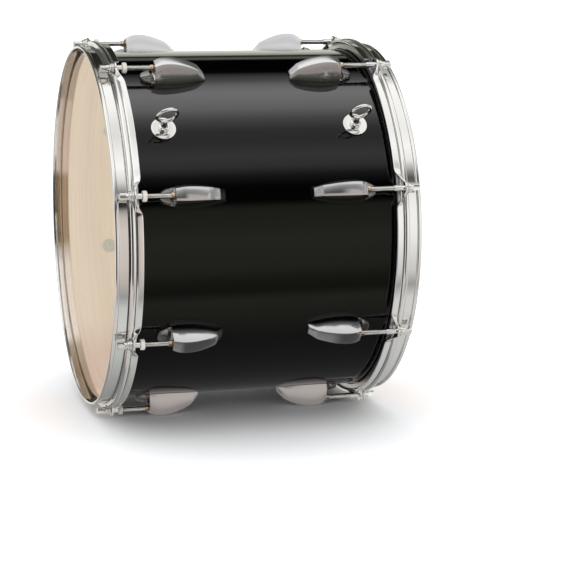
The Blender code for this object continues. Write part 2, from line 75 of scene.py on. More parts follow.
shell_low, shell_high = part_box("shell")
axis_centre = (shell_low + shell_high) / 2
DRUM = Matrix.Translation(axis_centre) @ Matrix.Rotation(-math.pi / 2, 4, 'Y')


def linear(hex_colour):
    """sRGB hex, as a swatch is written, to the linear colour that a shader takes."""
    channels = [int(hex_colour[i:i + 2], 16) / 255 for i in (1, 3, 5)]
    return [c / 12.92 if c <= 0.04045 else ((c + 0.055) / 1.055) ** 2.4 for c in channels] + [1.0]


def add_node(tree, kind, inputs=None, **settings):
    """One shader node with its settings; each input is a value or another node's output."""
    node = tree.nodes.new('ShaderNode' + kind)
    for name, value in settings.items():
        setattr(node, name, value)
    for key, value in (inputs or {}).items():
        if isinstance(value, bpy.types.NodeSocket):
            tree.links.new(value, node.inputs[key])
        else:
            node.inputs[key].default_value = value
    return node


def new_finish(name):
    """An empty node material and its tree."""
    finish = bpy.data.materials.new(name)
    finish.use_nodes = True
    finish.node_tree.nodes.clear()
    return finish, finish.node_tree


def calc(tree, operation, *values, clamp=False):
    """Result of one step of arithmetic on values or other nodes' outputs."""
    node = add_node(tree, 'Math', dict(enumerate(values)), operation=operation, use_clamp=clamp)
    return node.outputs['Value']


def remap(tree, value, low, high, to_low=0.0, to_high=1.0):
    """A value brought from one span into another."""
    spans = {'Value': value, 'From Min': low, 'From Max': high, 'To Min': to_low, 'To Max': to_high}
    return add_node(tree, 'MapRange', spans).outputs['Result']


def noise(tree, size, detail, roughness=0.5):
    """Noise in the piece's own space, with features this many metres across."""
    place = add_node(tree, 'TexCoord').outputs['Object']
    inputs = {'Vector': place, 'Scale': 1 / size, 'Detail': detail, 'Roughness': roughness}
    return add_node(tree, 'TexNoise', inputs).outputs['Fac']


def blend_stops(tree, value, stops):
    """Colour for a value, blended between (place, colour) stops."""
    node = add_node(tree, 'ValToRGB', {'Fac': value})
    ramp = node.color_ramp
    while len(ramp.elements) > 1:
        ramp.elements.remove(ramp.elements[0])
    ramp.elements[0].position, ramp.elements[0].color = stops[0]
    for place, colour in stops[1:]:
        ramp.elements.new(place).color = colour
    return node.outputs['Color']


def relief(tree, height, strength, distance):
    """Normal bent by a height."""
    inputs = {'Height': height, 'Strength': strength, 'Distance': distance}
    return add_node(tree, 'Bump', inputs).outputs['Normal']


def coat(tree, colour, **inputs):
    """Gives a finish its one principled surface."""
    shader = add_node(tree, 'BsdfPrincipled', {'Base Color': colour, **inputs})
    add_node(tree, 'OutputMaterial', {'Surface': shader.outputs['BSDF']})


def rounded(corners, steps=4):
    """Points of an outline whose corners are (x, y, size of the round)."""
    points = []
    count = len(corners)
    for i, (x, y, size) in enumerate(corners):
        here = Vector((x, y))
        if size == 0:
            points.append((x, y))
            continue
        before = (Vector(corners[i - 1][:2]) - here).normalized() * size + here
        after = (Vector(corners[(i + 1) % count][:2]) - here).normalized() * size + here
        for k in range(steps + 1):
            t = k / steps
            points.append(tuple((1 - t) ** 2 * before + 2 * t * (1 - t) * here + t * t * after))
    return points


def smooth(mesh, sharp=32):
    """Smooth shading that breaks at edges sharper than this many degrees."""
    mesh.shade_smooth()
    mesh.set_sharp_from_angle(angle=math.radians(sharp))


def face_outwards(mesh):
    """Turns every face of a closed mesh to the outside."""
    bm = bmesh.new()
    bm.from_mesh(mesh)
    bmesh.ops.recalc_face_normals(bm, faces=bm.faces)
    bm.to_mesh(mesh)
    bm.free()


def lathe(name, outline, steps, closed=True):
    """Solid turned about Z from an outline of (radius, height) points."""
    verts, rings = [], []
    for radius, height in outline:
        if radius < 1e-7:
            rings.append([len(verts)] * steps)
            verts.append((0.0, 0.0, height))
            continue
        rings.append(list(range(len(verts), len(verts) + steps)))
        for k in range(steps):
            angle = math.tau * k / steps
            verts.append((radius * math.cos(angle), radius * math.sin(angle), height))
    pairs = list(zip(rings, rings[1:])) + ([(rings[-1], rings[0])] if closed else [])
    faces = []
    for lower, upper in pairs:
        for k in range(steps):
            j = (k + 1) % steps
            face = [lower[k], lower[j], upper[j], upper[k]]
            face = [v for i, v in enumerate(face) if v != face[i - 1]]
            if len(face) > 2:
                faces.append(face)
    mesh = bpy.data.meshes.new(name)
    mesh.from_pydata(verts, [], faces)
    face_outwards(mesh)
    smooth(mesh)
    return mesh


def new_piece(name, mesh, place, body, replaced, finishes):
    """Object in the scene that rides a body, stands for CAD nodes and takes a slot's finish."""
    piece = bpy.data.objects.new(name, mesh)
    bpy.context.scene.collection.objects.link(piece)
    if not mesh.materials:
        for finish in finishes:
            mesh.materials.append(finish)
    piece.matrix_world = place
    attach(piece, body)
    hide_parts(*replaced)
    return piece


# Gloss black nitrocellulose lacquer, sprayed and buffed: a near black body under a hard clear
# gloss. The faint orange peel of the spray is 4 mm across and softens mirrored edges a little.
lacquer, tree = new_finish("buffed_black_lacquer")
haze = remap(tree, noise(tree, 0.05, 5.0, 0.6), 0.35, 0.75, 0.045, 0.095)
coat(tree, linear("#040404"), IOR=1.48, Roughness=haze,
     Normal=relief(tree, noise(tree, 0.004, 2.0), 0.05, 0.0002))

# Maple veneer, sanded and sealed: pale tan with long fine grain that runs round the shell,
# 1.5 mm wide streaks and slow bands; the cut edges show the plies as thin rings.
maple, tree = new_finish("sealed_maple_ply")
place = add_node(tree, 'TexCoord').outputs['Object']
split = add_node(tree, 'SeparateXYZ', {'Vector': place}).outputs
turn = calc(tree, 'ARCTAN2', split['Y'], split['X'])
flat = add_node(tree, 'VectorMath', {0: place, 1: (1.0, 1.0, 0.0)}, operation='MULTIPLY')
radius = add_node(tree, 'VectorMath', {0: flat.outputs['Vector']}, operation='LENGTH').outputs['Value']
around = calc(tree, 'MULTIPLY', turn, SHELL_RADIUS)
veneer = add_node(tree, 'CombineXYZ', {'X': around, 'Y': split['Z'], 'Z': radius}).outputs['Vector']
grains = []
# sizes of the streaks and of the bands round the shell, along it and through it
for sizes, detail in (((0.12, 0.0015, 0.01), 3.0), ((0.5, 0.022, 0.01), 2.0)):
    scaled = add_node(tree, 'VectorMath', {0: veneer, 1: [1 / size for size in sizes]},
                      operation='MULTIPLY')
    inputs = {'Vector': scaled.outputs['Vector'], 'Scale': 1.0, 'Detail': detail}
    grains.append(add_node(tree, 'TexNoise', inputs).outputs['Fac'])
streaks, bands = grains
plies = calc(tree, 'PINGPONG', radius, 2 * PLY_THICKNESS)
ply_share = remap(tree, plies, 0.0, 2 * PLY_THICKNESS, 0.0, 0.35)
grain_share = remap(tree, calc(tree, 'ADD', streaks, bands), 0.7, 1.3)
tone = calc(tree, 'SUBTRACT', grain_share, ply_share, clamp=True)
colour = blend_stops(tree, tone, [(0.0, linear("#EACBAF")), (0.5, linear("#F8DDC2")),
                                  (1.0, linear("#FDE8D2"))])
coat(tree, colour, IOR=1.5, Roughness=0.42, Normal=relief(tree, streaks, 0.15, 0.0001))

flat_outer = SHELL_RADIUS - EDGE_ROUND
flat_inner = flat_outer - EDGE_FLAT
bore = SHELL_RADIUS - SHELL_WALL
slope = flat_inner - bore
upper = [(bore, SHELL_HALF_LENGTH - slope, 0.0006), (flat_inner, SHELL_HALF_LENGTH, 0.0003),
         (SHELL_RADIUS, SHELL_HALF_LENGTH, EDGE_ROUND), (SHELL_RADIUS, SHELL_HALF_LENGTH - BARE_EDGE, 0.0)]
shell_outline = rounded(upper + [(r, -z, size) for r, z, size in reversed(upper)])
shell_mesh = lathe("shell_turned", shell_outline, SHELL_SIDES)
for finish in (lacquer, maple):
    shell_mesh.materials.append(finish)
for face in shell_mesh.polygons:
    outside = math.hypot(face.center.x, face.center.y) > SHELL_RADIUS - SEAT_GAP
    lacquered = outside and abs(face.center.z) < SHELL_HALF_LENGTH - BARE_EDGE
    face.material_index = 0 if lacquered else 1
shell = new_piece("shell_of_plies", shell_mesh, DRUM, "frame", ["shell"], (lacquer, maple))

# Lugs. Sixteen die-cast zinc casings, chrome plated, shaped like a half bullet with a flat
# crest. Each holds a brass swivel nut in its mouth and is held by two screws from inside.
RIM_HEIGHT = 0.1525
LUG_COUNT = 8
LUG_SEAT = SHELL_RADIUS + SEAT_GAP
LUG_EDGE = 0.0006
LUG_CROWN = 0.0003
MOUTH_HEIGHT = 0.0105
ROD_CIRCLE = 0.1903
NUT_RADIUS = 0.0031
NUT_FRONT = 0.0537
SCREW_DEPTHS = (0.060, 0.097)
INNER_WASHER_RADIUS = 0.0075
DRUM_ROLL = math.radians(7.3)
# the drum lies rolled a little to the front, which the two ends see in opposite turns
LUG_ANGLES = {side: [math.radians(22.5 + 45 * k) + roll for k in range(LUG_COUNT)]
              for side, roll in (("left", -DRUM_ROLL), ("right", DRUM_ROLL))}
END = {"left": DRUM @ Matrix.Translation((0, 0, RIM_HEIGHT)),
       "right": DRUM @ Matrix.Rotation(math.pi, 4, 'X') @ Matrix.Translation((0, 0, RIM_HEIGHT))}

# depth from the rim, then base half width, crest half width and crest height
LUG_BODY = [
    (0.0580, 0.0100, 0.0061, 0.0169), (0.0598, 0.0102, 0.0062, 0.0179),
    (0.0640, 0.0107, 0.0067, 0.0197), (0.0695, 0.0110, 0.0069, 0.0206),
    (0.0770, 0.0109, 0.0068, 0.0203), (0.0850, 0.0103, 0.0065, 0.0187),
    (0.0940, 0.0090, 0.0059, 0.0156), (0.1000, 0.0077, 0.0055, 0.0128),
    (0.1012, 0.0074, 0.0053, 0.0121), (0.1016, 0.0073, 0.0053, 0.0118),
    (0.1050, 0.0065, 0.0049, 0.0082), (0.1086, 0.0057, 0.0043, 0.0044),
    (0.1091, 0.0055, 0.0042, 0.0034)]
LUG_TOE = [
    (0.0448, 0.0030, 0.0020, 0.0026), (0.0458, 0.0048, 0.0034, 0.0037),
    (0.0480, 0.0066, 0.0048, 0.0046), (0.0515, 0.0083, 0.0062, 0.0054),
    (0.0541, 0.0089, 0.0067, 0.0058), (0.0546, 0.0086, 0.0064, 0.0052)]
LUG_FOOT = [
    (0.0520, 0.0080, 0.0062, 0.0016), (0.0620, 0.0100, 0.0076, 0.0016)]


def between(stations, depth):
    """Sizes at a depth, on a smooth curve through the stations."""
    last = len(stations) - 1
    i = max(k for k in range(last) if stations[k][0] <= depth or k == 0)
    a, b = stations[i], stations[i + 1]
    before, after = stations[max(i - 1, 0)], stations[min(i + 2, last)]
    t = (depth - a[0]) / (b[0] - a[0])
    sizes = []
    for c in (1, 2, 3):
        rise_a = (b[c] - before[c]) / (b[0] - before[0]) * (b[0] - a[0])
        rise_b = (after[c] - a[c]) / (after[0] - a[0]) * (b[0] - a[0])
        sizes.append((2 * t ** 3 - 3 * t ** 2 + 1) * a[c] + (t ** 3 - 2 * t ** 2 + t) * rise_a
                     + (3 * t ** 2 - 2 * t ** 3) * b[c] + (t ** 3 - t ** 2) * rise_b)
    return sizes


def lug_ring(depth, base, crest, height):
    """Section of the casing: crowned crest, eased edges, full sides, foot on the shell."""
    top = LUG_SEAT + height
    half = [(top + LUG_CROWN, 0.0), (top + LUG_CROWN * 2 / 3, crest * 0.5), (top, crest - LUG_EDGE),
            (top - LUG_EDGE * 0.3, crest - LUG_EDGE * 0.3), (top - LUG_EDGE, crest)]
    foot = math.sqrt(LUG_SEAT ** 2 - base ** 2)
    start, end = Vector((top - LUG_EDGE, crest)), Vector((foot, base))
    belly = Vector((LUG_SEAT + 0.5 * height, base))
    for k in range(1, 10):
        t = k / 9
        half.append(tuple((1 - t) ** 2 * start + 2 * t * (1 - t) * belly + t * t * end))
    half.append((math.sqrt(LUG_SEAT ** 2 - (base / 2) ** 2), base / 2))
    ring = half + [(LUG_SEAT, 0.0)] + [(x, -y) for x, y in reversed(half[1:])]
    return [Vector((x, y, -depth)) for x, y in ring]


def loft_into(bm, rings, material):
    """Skin over a row of rings, closed at both ends."""
    made = [[bm.verts.new(point) for point in ring] for ring in rings]
    faces = [bm.faces.new(made[0]), bm.faces.new(made[-1])]
    for one, two in zip(made, made[1:]):
        for i in range(len(one)):
            j = (i + 1) % len(one)
            faces.append(bm.faces.new((one[i], one[j], two[j], two[i])))
    for face in faces:
        face.material_index = material


def turned_into(bm, outline, place, steps, material):
    """A turned solid added to a bmesh, moved by a matrix."""
    extra = bmesh.new()
    extra.from_mesh(lathe("turned_part", outline, steps, closed=False))
    bmesh.ops.transform(extra, matrix=place, verts=extra.verts)
    for face in extra.faces:
        face.material_index = material
    holder = bpy.data.meshes.new("turned_part")
    extra.to_mesh(holder)
    extra.free()
    bm.from_mesh(holder)


def spread(stations, count):
    """Rings of the casing at evenly spread depths and at each station."""
    first, last = stations[0][0], stations[-1][0]
    even = {first + (last - first) * k / count for k in range(count + 1)}
    depths = sorted(even | {station[0] for station in stations})
    return [lug_ring(d, *between(stations, d)) for d in depths]


def mouth_rings():
    """The open mouth: the rim of the casing turned in to a shallow dark well round the nut."""
    outer = lug_ring(*LUG_BODY[0])
    middle = LUG_SEAT + MOUTH_HEIGHT
    return [[Vector((middle + (p.x - middle) * share, p.y * share, -depth)) for p in outer]
            for share, depth in ((0.60, 0.0680), (0.66, 0.0610), (0.80, 0.0584), (0.92, 0.0580))]


# Chrome on die-cast zinc: bright and neutral, a little softer than on turned steel, with the
# faint ripple of the casting every 3 mm under the plating. The toe and the foot behind the rod
# get a duller copy whose darker tint is painted shade and painted dark reflection.
castings = []
for name, tint, gloss in (("chromed_zinc_casting", "#C3C3C3", 0.10),
                          ("chromed_zinc_painted_shade", "#8E8D8B", 0.20)):
    casting, tree = new_finish(name)
    softness = remap(tree, noise(tree, 0.012, 4.0), 0.3, 0.7, gloss, gloss + 0.07)
    coat(tree, linear(tint), Metallic=1.0, Roughness=softness,
         Normal=relief(tree, noise(tree, 0.003, 2.0), 0.06, 0.0002))
    castings.append(casting)
cast_chrome, toe_shade_casting = castings

# Turned brass under a thin worn wash of nickel, so that the nut shows pale and warm.
brass, tree = new_finish("nickel_washed_brass")
colour = blend_stops(tree, noise(tree, 0.002, 3.0), [(0.3, linear("#A98B6C")), (0.7, linear("#E6D3BB"))])
coat(tree, colour, Metallic=1.0, Roughness=0.12)

# Zinc plated steel of the inner screws and washers: pale grey, satin and a little mottled.
zinc, tree = new_finish("zinc_plated_steel")
colour = blend_stops(tree, noise(tree, 0.0015, 3.0), [(0.3, linear("#A9ABA3")), (0.7, linear("#C3C5BC"))])
coat(tree, colour, Metallic=1.0, Roughness=0.38)

lug_bm = bmesh.new()
loft_into(lug_bm, mouth_rings() + spread(LUG_BODY, 30), 0)
# the toe and the foot take the casting with painted shade
loft_into(lug_bm, spread(LUG_TOE, 10), 3)
loft_into(lug_bm, spread(LUG_FOOT, 3), 3)
# outlines of the nut and of a screw on its washer: radius, height and round
nut_outline = rounded([(0.0, 0.0, 0.0), (NUT_RADIUS, 0.0, 0.0010), (NUT_RADIUS, -0.0034, 0.0008),
                       (0.0024, -0.0036, 0.0004), (0.0024, -0.0046, 0.0003), (0.0046, -0.0050, 0.0004),
                       (0.0046, -0.0120, 0.0), (0.0, -0.0120, 0.0)])
nut_place = Matrix.Translation((ROD_CIRCLE, 0, -NUT_FRONT))
turned_into(lug_bm, nut_outline, nut_place, 28, 1)
screw_outline = rounded([(0.0, 0.0, 0.0), (INNER_WASHER_RADIUS, 0.0, 0.0002),
                         (INNER_WASHER_RADIUS, 0.0012, 0.0003), (0.0042, 0.0012, 0.0),
                         (0.0042, 0.0024, 0.0008), (0.0012, 0.0030, 0.0003), (0.0012, 0.0016, 0.0),
                         (0.0, 0.0016, 0.0)])
for depth in SCREW_DEPTHS:
    inward = Matrix.Translation((bore, 0, -depth)) @ Matrix.Rotation(-math.pi / 2, 4, 'Y')
    turned_into(lug_bm, screw_outline, inward, 28, 2)
bmesh.ops.recalc_face_normals(lug_bm, faces=lug_bm.faces)
lug_mesh = bpy.data.meshes.new("lug_with_nut_and_screws")
lug_bm.to_mesh(lug_mesh)
lug_bm.free()
smooth(lug_mesh, 30)
lugs = []
for side in END:
    for number, angle in enumerate(LUG_ANGLES[side], 1):
        lugs.append(new_piece("%s_lug_casing_%d" % (side, number), lug_mesh,
                              END[side] @ Matrix.Rotation(angle, 4, 'Z'), "frame",
                              ["%s_lug_%d" % (side, number)],
                              (cast_chrome, brass, zinc, toe_shade_casting)))

# Eye bolts. Two forged steel eyes, chrome plated, each clamped through the shell between a
# wide washer outside and a washer and nut inside; a sling or carrier hooks into the rings.
EYE_DEPTH = 0.0564
EYE_ANGLE = math.radians(-45) - DRUM_ROLL
EYE_RING = 0.0098
EYE_WIRE = 0.0019
EYE_HEIGHT = 0.0240
EYE_TWIST = math.radians(8)
EYE_WASHER = 0.0122
EYE_WASHER_THICKNESS = 0.0018
EYE_SHANK = 0.0030
EYE_SHANK_END = 0.160
EYE_COLLAR = 0.0052
EYE_HOLE = 0.0033
EYE_INNER_WASHER = 0.0090
EYE_INNER_WASHER_THICKNESS = 0.0016
EYE_NUT = 0.0055
EYE_NUT_HEIGHT = 0.0036

# Chrome on polished steel: a clear neutral mirror. Fine polishing lines 0.5 mm apart are too
# small to show at this distance, so they are drawn as slow changes of gloss.
chrome, tree = new_finish("chromed_polished_steel")
softness = remap(tree, noise(tree, 0.02, 5.0, 0.6), 0.3, 0.7, 0.04, 0.09)
coat(tree, linear("#E3E2DF"), Metallic=1.0, Roughness=softness,
     Normal=relief(tree, noise(tree, 0.015, 1.0), 0.04, 0.0004))


def torus_into(bm, ring, wire, place, steps, sides):
    """A round ring of round wire added to a bmesh."""
    rows = []
    for k in range(steps):
        angle = math.tau * k / steps
        out = Vector((math.cos(angle), math.sin(angle), 0.0))
        row = []
        for s in range(sides):
            turn = math.tau * s / sides
            point = out * (ring + wire * math.cos(turn)) + Vector((0, 0, wire * math.sin(turn)))
            row.append(bm.verts.new(place @ point))
        rows.append(row)
    for k in range(steps):
        for s in range(sides):
            t = (s + 1) % sides
            bm.faces.new((rows[k][s], rows[k][t], rows[(k + 1) % steps][t], rows[(k + 1) % steps][s]))


low = SHELL_RADIUS + SEAT_GAP
washer_top = low + EYE_WASHER_THICKNESS
ring_centre = SHELL_RADIUS + EYE_HEIGHT
neck = ring_centre - EYE_RING
eye_bm = bmesh.new()
shank = rounded([(0.0, neck + 0.0008, 0.0), (0.0016, neck + 0.0006, 0.0006),
                 (0.0032, washer_top + 0.0042, 0.0008), (EYE_COLLAR, washer_top + 0.0036, 0.0004),
                 (EYE_COLLAR, washer_top + SEAT_GAP, 0.0004), (EYE_SHANK, washer_top + SEAT_GAP, 0.0),
                 (EYE_SHANK, EYE_SHANK_END, 0.0), (0.0, EYE_SHANK_END, 0.0)])
turned_into(eye_bm, shank, Matrix.Identity(4), 32, 0)
upright = Matrix.Rotation(EYE_TWIST, 4, 'Z') @ Matrix.Rotation(math.pi / 2, 4, 'X')
torus_into(eye_bm, EYE_RING, EYE_WIRE, Matrix.Translation((0, 0, ring_centre)) @ upright, 48, 16)
bmesh.ops.recalc_face_normals(eye_bm, faces=eye_bm.faces)
eye_mesh = bpy.data.meshes.new("forged_eye")
eye_bm.to_mesh(eye_mesh)
eye_bm.free()
smooth(eye_mesh)
washer_mesh = lathe("eye_washer_turned", rounded([
    (EYE_HOLE, washer_top, 0.0002), (EYE_WASHER, washer_top, 0.0005), (EYE_WASHER, low, 0.0002),
    (EYE_HOLE, low, 0.0)]), 64)
inner_seat = bore - SEAT_GAP
nut_seat = inner_seat - EYE_INNER_WASHER_THICKNESS
nut_mesh = lathe("eye_nut_turned", rounded([
    (EYE_HOLE, inner_seat, 0.0), (EYE_INNER_WASHER, inner_seat, 0.0002),
    (EYE_INNER_WASHER, nut_seat, 0.0004), (EYE_NUT, nut_seat, 0.0),
    (EYE_NUT, nut_seat - EYE_NUT_HEIGHT, 0.0006), (EYE_HOLE, nut_seat - EYE_NUT_HEIGHT, 0.0)]), 6)
for side in END:
    height = RIM_HEIGHT - EYE_DEPTH if side == "left" else EYE_DEPTH - RIM_HEIGHT
    outward = Matrix.Rotation(EYE_ANGLE, 4, 'Z') @ Matrix.Rotation(math.pi / 2, 4, 'Y')
    stand = DRUM @ Matrix.Translation((0, 0, height)) @ outward @ Matrix.Rotation(math.pi, 4, 'Z')
    for name, mesh, node in (("forged_eye", eye_mesh, "eye_bolt"), ("washer", washer_mesh, "eye_washer"),
                             ("inner_nut", nut_mesh, "eye_nut")):
        new_piece("%s_%s" % (side, name), mesh, stand, "frame", ["%s_%s" % (side, node)],
                  (chrome,))

# Heads. Clear polyester film drawn over the bearing edge, its collar gripped in an aluminium
# flesh hoop that the counter hoop pulls down.
FILM_TOP = -0.0090
FILM_END = -0.0224
FILM = 0.0004
FILM_BEND = 0.0017
FLESH_BORE = 0.1786
FLESH_WIDTH = 0.005
FLESH_TOP = -0.0164
FLESH_HEIGHT = 0.008
HEAD_SIDES = 192

# Clear polyester film: lets nearly everything through face on and mirrors at a low angle, with
# a faint milky haze; fine dust shows as specks about 1 mm across.
film_finish, tree = new_finish("clear_polyester_film")
milk = remap(tree, noise(tree, 0.03, 6.0, 0.7), 0.3, 0.8, 0.01, 0.035)
clear = add_node(tree, 'BsdfTransparent', {'Color': linear("#F9F8F4")}).outputs['BSDF']
cloudy = add_node(tree, 'BsdfDiffuse', {'Color': linear("#EDEAE2")}).outputs['BSDF']
gloss = add_node(tree, 'BsdfGlossy', {'Color': linear("#FFFFFF"), 'Roughness': 0.06}).outputs['BSDF']
sight = add_node(tree, 'MixShader', {0: milk, 1: clear, 2: cloudy}).outputs['Shader']
sheen = add_node(tree, 'Fresnel', {'IOR': 1.5}).outputs['Fac']
behind = add_node(tree, 'NewGeometry').outputs['Backfacing']
share = calc(tree, 'MULTIPLY', sheen, calc(tree, 'SUBTRACT', 1.0, behind))
surface = add_node(tree, 'MixShader', {0: share, 1: sight, 2: gloss}).outputs['Shader']
add_node(tree, 'OutputMaterial', {'Surface': surface})

# Extruded aluminium with the matt skin that it leaves the press with, faint lines round it.
aluminium, tree = new_finish("extruded_aluminium")
softness = remap(tree, noise(tree, 0.001, 2.0), 0.0, 1.0, 0.3, 0.45)
coat(tree, linear("#C6C7C8"), Metallic=1.0, Roughness=softness)

inner = SHELL_RADIUS + SEAT_GAP
# the flat stops just short of the bend
flat = inner + FILM - FILM_BEND - 0.0004
film_outline = rounded([
    (0.0, FILM_TOP, 0.0), (flat, FILM_TOP, 0.0), (inner + FILM, FILM_TOP, FILM_BEND),
    (inner + FILM, FILM_END, 0.0), (inner, FILM_END, 0.0), (inner, FILM_TOP - FILM, FILM_BEND - FILM),
    (flat, FILM_TOP - FILM, 0.0), (0.0, FILM_TOP - FILM, 0.0)])
film_mesh = lathe("film_drawn_over_edge", film_outline, HEAD_SIDES, closed=False)
flesh_end = FLESH_TOP - FLESH_HEIGHT
flesh_mesh = lathe("flesh_hoop_rolled", rounded([
    (FLESH_BORE, FLESH_TOP, 0.0006), (FLESH_BORE + FLESH_WIDTH, FLESH_TOP, 0.0008),
    (FLESH_BORE + FLESH_WIDTH, flesh_end, 0.0008), (FLESH_BORE, flesh_end, 0.0006)]), HEAD_SIDES)
for side in END:
    body = "%s_hoop_and_head" % side
    new_piece("%s_clear_film" % side, film_mesh, END[side], body, ["%s_head" % side],
              (film_finish,))
    new_piece("%s_flesh_ring" % side, flesh_mesh, END[side], body, ["%s_flesh_hoop" % side],
              (aluminium,))

# Counter hoops. Each is rolled from a flat steel strip: a folded lip, a straight wall, a
# stepped bead and a skirt that turns outwards into eight ears for the rods; chrome plated.
HOOP_BORE = 0.1809
LIP_RADIUS = 0.1837
LIP_HEIGHT = 0.0040
WALL_RADIUS = 0.1824
LEDGE = 0.0141
LEDGE_UNDERSIDE = 0.0161
CHANNEL = 0.1839
CHANNEL_END = 0.0200
BEAD = 0.1887
BEAD_ROUND = 0.0021
CREASE = 0.0009
SKIRT = 0.1872
SKIRT_INNER = 0.1848
SKIRT_ROOT = 0.0193
# the skirt's underside at a rod and between two rods
SKIRT_FOOT = (0.0215, 0.0209)
SHEET = 0.0021
EAR_TOP = 0.0179
EAR_ROUND = 0.0070
# the flange stays flat from the first of these past its root to the second before its tip
FLAT_ENDS = (0.0022, 0.0011)
WASHER_POCKET = 0.0059
# strips of the section, counted from the lip's inside, that lie in the two creases, where the chrome with
# painted crease shade goes
HOOP_CREASES = (24, 25, 26, 35, 36, 37, 38, 39)

# Chrome in the creases of the hoops with painted shade: darker and softer, a painted stand-in for the shade
# and dark reflections in the creases. The painted shade is lighter higher up, lower down and all round the
# right hoop, broken up by noise.
crease_shade_chrome, tree = new_finish("chrome_with_painted_crease_shade")
where = add_node(tree, 'NewGeometry').outputs['Position']
spot = add_node(tree, 'SeparateXYZ', {'Vector': where}).outputs
# painted shade by height over the floor: deepest from 0.13 to 0.215 m, lifted below and above
height_shade_lift = blend_stops(tree, spot['Z'], [(height, (share, share, share, 1.0)) for height, share in (
    (0.09, 0.30), (0.13, 0.0), (0.215, 0.0), (0.25, 0.5))])
# the right hoop gets less of the painted shade
side_shade_lift = calc(tree, 'MULTIPLY_ADD', calc(tree, 'GREATER_THAN', spot['X'], 0.0), 0.35, height_shade_lift)
crease_lightness = calc(tree, 'MULTIPLY_ADD', noise(tree, 0.0035, 3.0), 0.5, side_shade_lift)
tone = blend_stops(tree, crease_lightness, [(0.15, linear("#34312E")), (0.35, linear("#5C5854")),
                                  (0.60, linear("#97958F")), (0.85, linear("#BDBCB9"))])
coat(tree, tone, Metallic=1.0, Roughness=0.3)

# distance along the hoop from a rod, then the flange's length and its turn down in degrees
FLANGE = [
    (0.0000, 0.0101, 0), (0.0049, 0.0081, 0), (0.0065, 0.0064, 2), (0.0085, 0.0054, 14),
    (0.0110, 0.0053, 38), (0.0135, 0.0060, 64), (0.0160, 0.0069, 82), (0.0190, 0.0076, 90),
    (0.0800, 0.0076, 90)]


def eased(table, at, column):
    """A table's column at a place, eased between its rows."""
    for low_row, high_row in zip(table, table[1:]):
        if at <= high_row[0]:
            t = (at - low_row[0]) / (high_row[0] - low_row[0])
            return low_row[column] + (high_row[column] - low_row[column]) * t
    return table[-1][column]


def smoothed(table, at, column, window=0.0016):
    """The same, with the corners of the curve rounded off."""
    return sum(eased(table, max(abs(at + window * k), 0.0), column) for k in (-1, 0, 1)) / 3


def hoop_section(aside):
    """Outline of the hoop where it is this far along from the nearest rod."""
    away = abs(aside)
    pocket = ROD_CIRCLE - math.sqrt(WASHER_POCKET ** 2 - away ** 2) if away < WASHER_POCKET else BEAD
    recessed = pocket < BEAD
    bead = min(pocket, BEAD)
    ease = 0.0003 if recessed else BEAD_ROUND
    if away < EAR_ROUND * 0.7:
        length = ROD_CIRCLE + math.sqrt(EAR_ROUND ** 2 - away ** 2) - SKIRT
        turn = 0.0
    else:
        length = smoothed(FLANGE, away, 1)
        turn = math.radians(smoothed(FLANGE, away, 2))
    down = turn / (math.pi / 2)
    root = EAR_TOP + (SKIRT_ROOT - EAR_TOP) * down
    out, fall = math.cos(turn), math.sin(turn)
    base = Vector((SKIRT - 0.0004 * (1 - down), root))
    along = Vector((out, fall))
    across = Vector((-fall, out))
    tip = base + along * length
    under_tip = tip + across * SHEET
    under_root = Vector((SKIRT_INNER * down + (SKIRT - 0.0012) * (1 - down),
                         root + SHEET * (1 - down) + 0.0012 * down))
    crease = CREASE * max(down * 2 - 1, 0.0)
    foot = base.x if not recessed else bead + 0.0002
    near, far = base + along * FLAT_ENDS[0], tip - along * FLAT_ENDS[1]
    ledge_round = min(0.0010, (bead - WALL_RADIUS) / 2)
    corners = [
        (HOOP_BORE, LEDGE_UNDERSIDE, 0.0004), (HOOP_BORE, 0.0, 0.0011), (LIP_RADIUS, 0.0, 0.0016),
        (LIP_RADIUS, 0.0018, 0.0), (LIP_RADIUS, 0.0028, 0.0), (LIP_RADIUS, LIP_HEIGHT, 0.0009),
        (WALL_RADIUS, LIP_HEIGHT + 0.0003, 0.0003), (WALL_RADIUS, LIP_HEIGHT + 0.0009, 0.0),
        (WALL_RADIUS, LEDGE - 0.0014, 0.0), (WALL_RADIUS, LEDGE, ledge_round),
        (bead, LEDGE, ease), (bead, root, min(ease, 0.0018 - 0.0009 * (1 - down))),
        (foot - crease, root + 0.0001, 0.0002),
        (foot - crease * 0.1, root + 0.0002 + crease * 1.1, 0.0001 + crease * 0.5),
        (near.x, near.y, 0.0), (far.x, far.y, 0.0), (tip.x, tip.y, 0.0007),
        (under_tip.x, under_tip.y, 0.0007), (under_root.x, under_root.y, 0.0006),
        (SKIRT_INNER, SKIRT_FOOT[0] * (1 - down) + SKIRT_FOOT[1] * down, 0.0003),
        (CHANNEL, CHANNEL_END, 0.0003), (CHANNEL, LEDGE_UNDERSIDE, 0.0004)]
    return [(x, -y) for x, y in rounded(corners, 3)]


def hoop_turns():
    """Angles round the hoop, close together at the ears and wide apart between them."""
    half_pitch = math.pi / LUG_COUNT
    steps = [0.0004 * k for k in range(0, 20)] + [0.008 + 0.0008 * k for k in range(0, 17)]
    near = [math.asin(s / ROD_CIRCLE) for s in steps]
    far = [near[-1] + (half_pitch - near[-1]) * k / 16 for k in range(1, 16)]
    half = near + far
    return sorted({-a for a in half} | set(half) | {half_pitch})


